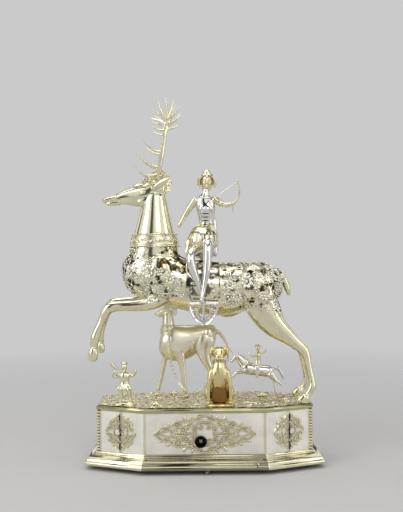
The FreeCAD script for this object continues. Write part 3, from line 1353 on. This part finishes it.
HOUND_EAR_SHARES = ((-0.345, 0.04, 0.98, 0.012, 0.02), (-0.32, 0.055, 0.94, 0.008, 0.026),
                    (-0.305, 0.06, 0.88, 0.004, 0.01))
HOUND_LEG_SHARES = (((-0.4, 0.05, 0.55, 0.05, 0.07), (-0.42, 0.055, 0.42, 0.03, 0.035),
                     (-0.46, 0.05, 0.22, 0.02, 0.024), (-0.5, 0.045, 0.06, 0.02, 0.022),
                     (-0.51, 0.045, 0, 0.026, 0.04)), ((-0.33, -0.06, 0.52, 0.05, 0.07),
                     (-0.27, -0.07, 0.34, 0.028, 0.032), (-0.23, -0.08, 0.16, 0.02, 0.022),
                     (-0.2, -0.085, 0.05, 0.02, 0.022), (-0.205, -0.085, 0, 0.026, 0.036)),
                    ((0.06, -0.05, 0.64, 0.05, 0.09), (0.01, -0.06, 0.46, 0.042, 0.06),
                     (0.08, -0.065, 0.27, 0.025, 0.03), (0.07, -0.07, 0.06, 0.02, 0.022),
                     (0.06, -0.07, 0, 0.026, 0.04)), ((0.06, 0.05, 0.64, 0.05, 0.09),
                     (0.03, 0.06, 0.46, 0.042, 0.06), (0.11, 0.065, 0.27, 0.025, 0.03),
                     (0.12, 0.07, 0.06, 0.02, 0.022), (0.11, 0.07, 0, 0.026, 0.04)))
HOUND_TAIL_SHARES = ((0.12, 0, 0.71, 0.022, 0.022), (0.2, 0, 0.64, 0.018, 0.018),
                     (0.26, 0, 0.52, 0.014, 0.014), (0.32, 0, 0.46, 0.008, 0.008))


def hound_stations(shares, shrink):
    """The stations drawn in by a wall."""
    wall = shrink / Size.hound_height
    return [(x, y, z, across - wall, other - wall) for x, y, z, across, other in shares]


def hound_limb(shares, shrink=0, sides=8, level_ends=False):
    return limb(hound_stations(shares, shrink), HOUND_ORIGIN, Size.hound_height, sides=sides,
                level_ends=level_ends)


def make_hound():
    """A standing hound: a second vessel, with a head that lifts off at the collar."""
    solid = [hound_limb(HOUND_TRUNK_SHARES, sides=10), hound_limb(HOUND_NECK_SHARES, level_ends=True)]
    solid += [hound_limb(leg, sides=6, level_ends=True) for leg in HOUND_LEG_SHARES]
    solid.append(hound_limb(HOUND_TAIL_SHARES, sides=5))
    inside = hound_limb(HOUND_TRUNK_SHARES[1:-1], Size.hound_wall, 8)
    throat = hound_limb(HOUND_NECK_SHARES, Size.hound_wall, 8, True)
    keep_shape("hound_body", joined(solid).cut(inside.fuse(throat)))
    ear = hound_limb(HOUND_EAR_SHARES, sides=5)
    head = [hound_limb(HOUND_UPPER_NECK_SHARES, level_ends=True), hound_limb(HOUND_HEAD_SHARES), ear,
            mirrored(ear, Size.hound_y)]
    keep_shape("hound_head", joined(head))
    make_hound_collar()


def make_hound_collar():
    """A round band at the foot of the hound's lift-off neck."""
    neck = hound_limb(HOUND_NECK_SHARES, level_ends=True)
    wide = hound_limb(HOUND_NECK_SHARES, -Size.hound_band_thick, 8, True)
    top = HOUND_NECK_SHARES[-1][2] * Size.hound_height + GROUND_TOP
    half = Size.hound_height
    slab = Part.makeBox(half, half, Size.hound_band_height,
                        HOUND_ORIGIN + Vector(-half, -half / 2, top - Size.hound_band_height - GROUND_TOP))
    band = wide.common(slab).cut(neck).cut(doc.getObject("hound_body").Shape)
    keep_shape("hound_collar", largest(band))


# The chain's ends as shares of the hound's and the seated dog's heights, and its route as
# shares of the way between them.
CHAIN_START_SHARES = (-0.38, -0.094, 0.678)
CHAIN_END_SHARES = (-0.18, 0.075, 0.41333)
CHAIN_SHARES = ((0, 0, 0), (0.0118, 0.1183, 0.2558), (0.0355, 0.1879, 0.5581),
                (0.1185, 0.2691, 0.8372), (0.237, 0.3852, 1.1163), (0.4028, 0.5244, 1.2907),
                (0.5924, 0.6868, 1.3488), (0.7701, 0.826, 1.3023), (0.9123, 0.9304, 1.1744),
                (1, 1, 1))


def tangent_arc_path(points):
    """Straight runs joined by arcs, each as large as its two runs allow."""
    edges = []
    start = points[0]
    radii = []
    for before, corner, after in zip(points, points[1:], points[2:]):
        first = (before - corner).normalize()
        second = (after - corner).normalize()
        reach = ARC_REACH_SHARE * min((before - corner).Length, (after - corner).Length)
        turn = math.pi - first.getAngle(second)
        radii.append(reach / math.tan(turn / 2))
        bisector = (first + second).normalize()
        sagitta = radii[-1] / math.cos(turn / 2) - radii[-1]
        entry = corner + first * reach
        leave = corner + second * reach
        edges.append(Part.LineSegment(start, entry).toShape())
        edges.append(Part.Arc(entry, corner + bisector * sagitta, leave).toShape())
        start = leave
    edges.append(Part.LineSegment(start, points[-1]).toShape())
    print("chain radii", [round(radius, 1) for radius in radii])
    return Part.Wire(edges)


ARC_REACH_SHARE = 0.45
CHAIN_SIDES = 5


def make_chain():
    collar = HOUND_ORIGIN + Vector(*CHAIN_START_SHARES) * Size.hound_height
    dog = Vector(Size.seated_dog_x, SEATED_DOG_Y, GROUND_TOP)
    way = dog + Vector(*CHAIN_END_SHARES) * Size.seated_dog_height - collar
    points = [collar + Vector(x * way.x, y * way.y, z * way.z) for x, y, z in CHAIN_SHARES]
    path = tangent_arc_path(points)
    start = points[0]
    along = points[1] - start
    radius = Size.chain_width / 2
    outline = ring(start, along, X_AXIS, radius, radius, CHAIN_SIDES)
    section = Part.makePolygon([*outline, outline[0]])
    tube = path.makePipeShell([section], True, False)
    area = Part.Face(section).Area
    print("chain volume", round(tube.Volume, 1), "section by length", round(area * path.Length, 1),
          "length", round(path.Length, 1))
    keep_shape("leash_chain", tube)


# Small figures, each as shares of its own height or length.
DOG_BASE_SHARES = ((0, 0, 0, 0.24, 0.15), (0, 0, 0.045, 0.24, 0.15))
DOG_BODY_SHARES = ((0, 0.03, 0.045, 0.19, 0.11), (0, 0.03, 0.2, 0.2, 0.12), (0, 0.02, 0.42, 0.17, 0.11),
                   (0, 0, 0.62, 0.16, 0.1), (0, -0.01, 0.76, 0.1, 0.08))
DOG_HEAD_SHARES = ((0, 0.05, 0.86, 0.1, 0.11), (0, 0, 0.87, 0.13, 0.12), (0, -0.05, 0.87, 0.11, 0.1),
                   (0, -0.1, 0.84, 0.07, 0.06), (0, -0.15, 0.83, 0.05, 0.045))
DOG_EAR_SHARES = ((0.1, 0, 0.95, 0.03, 0.03), (0.15, -0.01, 0.9, 0.02, 0.03),
                  (0.16, -0.01, 0.78, 0.01, 0.02))
DOG_LEG_SHARES = ((0.15, -0.02, 0.66, 0.05, 0.06), (0.165, -0.09, 0.4, 0.038, 0.045),
                  (0.17, -0.1, 0.12, 0.034, 0.036), (0.17, -0.11, 0.045, 0.042, 0.05))


def make_seated_dog():
    """A dog sitting upright and facing the front, on a small base."""
    origin = Vector(Size.seated_dog_x, SEATED_DOG_Y, GROUND_TOP)
    unit = Size.seated_dog_height

    def grow(shares, across=X_AXIS, sides=6):
        return limb(shares, origin, unit, across=across, sides=sides)

    leg = grow(DOG_LEG_SHARES)
    ear = grow(DOG_EAR_SHARES)
    pair = [shape.mirror(origin, X_AXIS) for shape in (leg, ear)]
    parts = [grow(DOG_BASE_SHARES, sides=8), grow(DOG_BODY_SHARES, sides=8), grow(DOG_HEAD_SHARES, sides=8),
             leg, ear, *pair]
    keep_shape("seated_dog", largest(joined(parts)))


HORSE_SHARES = ((-0.3, 0, 0.53, 0.05, 0.07), (-0.2, 0, 0.51, 0.075, 0.1), (0, 0, 0.45, 0.07, 0.085),
                (0.2, 0, 0.38, 0.08, 0.1), (0.3, 0, 0.36, 0.05, 0.07))
HORSE_NECK_SHARES = ((-0.24, 0, 0.54, 0.05, 0.08), (-0.34, 0, 0.66, 0.04, 0.06),
                     (-0.38, 0, 0.73, 0.035, 0.045))
HORSE_HEAD_SHARES = ((-0.35, 0, 0.74, 0.03, 0.04), (-0.44, 0, 0.69, 0.028, 0.035),
                     (-0.5, 0, 0.64, 0.02, 0.022))
HORSE_LEG_SHARES = (((-0.24, 0.05, 0.46, 0.03, 0.04), (-0.38, 0.06, 0.42, 0.02, 0.022),
                     (-0.46, 0.06, 0.33, 0.018, 0.02)), ((0.26, 0.05, 0.34, 0.035, 0.05),
                     (0.36, 0.06, 0.24, 0.022, 0.025), (0.47, 0.06, 0.2, 0.018, 0.02)))
HORSE_TAIL_SHARES = ((0.29, 0, 0.4, 0.025, 0.03), (0.4, 0, 0.38, 0.025, 0.03), (0.5, 0, 0.3, 0.01, 0.012))
HUNTER_SHARES = ((0, 0, 0.5, 0.06, 0.055), (0.01, 0, 0.6, 0.045, 0.045), (0.02, 0, 0.7, 0.06, 0.05),
                 (0.015, 0, 0.735, 0.022, 0.022), (0.01, 0, 0.78, 0.04, 0.045), (0.01, 0, 0.82, 0.03, 0.03))
HUNTER_ARM_SHARES = ((0.03, 0.05, 0.68, 0.02, 0.02), (0.1, 0.06, 0.72, 0.018, 0.018),
                     (0.17, 0.05, 0.82, 0.014, 0.014))
HUNTER_LEG_SHARES = ((0, 0.05, 0.5, 0.03, 0.035), (-0.04, 0.09, 0.42, 0.022, 0.026),
                     (-0.01, 0.09, 0.32, 0.018, 0.022))
SUPPORT_TOP_SHARES = (0.3, 0, 0.3)
SUPPORT_FOOT_SHARES = (0.36, 0, 0)


def make_mounted_hunter():
    """A small leaping horse with its rider, carried on one pin."""
    origin = Vector(Size.small_horse_x, SMALL_HORSE_Y, GROUND_TOP)
    unit = Size.small_horse_length

    def grow(shares, sides=6):
        return limb(shares, origin, unit, sides=sides)

    single_tables = (HORSE_SHARES, HORSE_NECK_SHARES, HORSE_HEAD_SHARES, HORSE_TAIL_SHARES)
    single = [grow(shares) for shares in single_tables]
    single.append(limb(HUNTER_SHARES, origin, unit, sides=6))
    paired = [grow(shares, 5) for shares in (*HORSE_LEG_SHARES, HUNTER_LEG_SHARES, HUNTER_ARM_SHARES)]
    paired += [mirrored(shape, SMALL_HORSE_Y) for shape in paired]
    top = origin + Vector(*SUPPORT_TOP_SHARES) * unit
    foot = origin + Vector(*SUPPORT_FOOT_SHARES) * unit
    pin = skin([ring(foot, Z_AXIS, Y_AXIS, Size.support_pin_radius, Size.support_pin_radius, 6),
                ring(top, Z_AXIS, Y_AXIS, Size.support_pin_radius, Size.support_pin_radius, 6)])
    keep_shape("mounted_hunter", largest(joined([*single, *paired, pin])))


BLOWER_BASE_SHARES = ((0, 0, 0, 0.27, 0.16), (0, 0, 0.09, 0.25, 0.14), (0, 0, 0.13, 0.15, 0.1))
BLOWER_LEG_SHARES = ((-0.06, 0, 0.08, 0.05, 0.05), (-0.05, 0, 0.28, 0.045, 0.05),
                     (-0.02, 0, 0.48, 0.06, 0.06))
BLOWER_OTHER_LEG_SHARES = ((0.12, 0, 0.08, 0.05, 0.05), (0.09, 0, 0.26, 0.045, 0.05),
                           (0.02, 0, 0.48, 0.06, 0.06))
BLOWER_BODY_SHARES = ((0, 0, 0.38, 0.11, 0.09), (0, 0, 0.5, 0.075, 0.065), (0, 0, 0.68, 0.1, 0.07),
                      (0, 0, 0.77, 0.03, 0.03), (0, 0, 0.83, 0.055, 0.055), (0, 0, 0.93, 0.04, 0.045))
BLOWER_ARM_SHARES = ((-0.06, -0.01, 0.69, 0.03, 0.03), (-0.15, -0.03, 0.64, 0.028, 0.028),
                     (-0.19, -0.07, 0.68, 0.025, 0.025), (-0.15, -0.1, 0.78, 0.022, 0.022))
BLOWER_HORN_SHARES = ((-0.03, -0.07, 0.82, 0.012, 0.012), (-0.16, -0.1, 0.86, 0.025, 0.025),
                      (-0.24, -0.1, 0.96, 0.05, 0.05))
BLOWER_LOW_ARM_SHARES = ((0.07, 0, 0.68, 0.03, 0.03), (0.17, -0.02, 0.56, 0.025, 0.025),
                         (0.22, -0.06, 0.44, 0.02, 0.02))


def make_horn_blower():
    """A small huntsman on foot who blows a horn."""
    origin = Vector(HORN_BLOWER_X, HORN_BLOWER_Y, GROUND_TOP)
    unit = Size.horn_blower_height
    upright = (BLOWER_BASE_SHARES, BLOWER_LEG_SHARES, BLOWER_OTHER_LEG_SHARES, BLOWER_BODY_SHARES)
    parts = [limb(shares, origin, unit, across=X_AXIS, sides=6) for shares in upright]
    reaching = (BLOWER_ARM_SHARES, BLOWER_HORN_SHARES, BLOWER_LOW_ARM_SHARES)
    parts += [limb(shares, origin, unit, sides=6) for shares in reaching]
    keep_shape("horn_blower", largest(joined(parts)))


# Small animals on the ground: place as shares of the case's half length and half depth,
# direction in quarter turns, and length as a share of the creatures' length.
CREATURE_PLACE_SHARES = ((-0.45, -0.66, 0.1, 1), (0.42, -0.62, 0.5, 0.8), (0.58, 0.3, 1.9, 1),
                         (0.78, -0.2, 1.2, 0.8), (-0.3, 0.66, 0.4, 0.9))
CREATURE_SHARES = ((-0.5, 0, 0.1, 0.05, 0.06), (-0.36, 0, 0.14, 0.11, 0.16), (-0.2, 0, 0.1, 0.09, 0.13),
                   (0.1, 0, 0.14, 0.17, 0.2), (0.5, 0, 0.05, 0.03, 0.05))
QUARTER_TURN = 90


def make_creatures():
    """A frog, a lizard and other small beasts of the wood, cast with the ground."""
    animals = []
    for across, back, turns, scale in CREATURE_PLACE_SHARES:
        unit = Size.creature_length * scale
        place = Vector(across * Size.case_length / 2, back * Size.case_depth / 2, GROUND_TOP)
        body = limb(CREATURE_SHARES, Vector(0, 0, 0), unit, sides=6)
        ground = Part.makeBox(2 * unit, 2 * unit, unit, Vector(-unit, -unit, 0))
        animal = largest(body.common(ground))
        animal.rotate(Vector(0, 0, 0), Z_AXIS, turns * QUARTER_TURN)
        animal.translate(place)
        animals.append(animal)
    keep_shape("ground_creatures", Part.makeCompound(animals))


def build():
    make_plinth()
    make_base_board()
    make_panels()
    make_strips()
    make_ornaments()
    make_keyhole_bush()
    make_cornice()
    make_ground_plate()
    make_movement_plates()
    make_pillars_and_nuts()
    make_barrel()
    make_winding()
    make_train()
    make_drive()
    make_steering()
    make_stop_lever()
    make_stag_body()
    make_stag_limbs()
    cloth = make_draperies()
    make_neck_collar()
    make_stag_head()
    make_antlers()
    make_stag_crown()
    make_rider(cloth)
    make_hound()
    make_seated_dog()
    make_chain()
    make_mounted_hunter()
    make_horn_blower()
    make_creatures()


def check():
    """Stops on a feature that failed or a piece whose shape is not sound."""
    for item in doc.Objects:
        if "Invalid" in item.State or "Error" in item.State:
            raise RuntimeError(f"{item.Label}: {item.State}")
    labels = [piece.Label for piece in pieces]
    if len(set(labels)) != len(labels):
        raise RuntimeError("two pieces share a name")
    for piece in pieces:
        if piece.Shape.isNull() or not piece.Shape.isValid():
            raise RuntimeError(f"{piece.Label}: the shape is not valid")


build()
doc.recompute()
check()
for piece in pieces:
    piece.Shape.exportStep(f"parts/{piece.Label}.step")
print(len(pieces), "pieces")
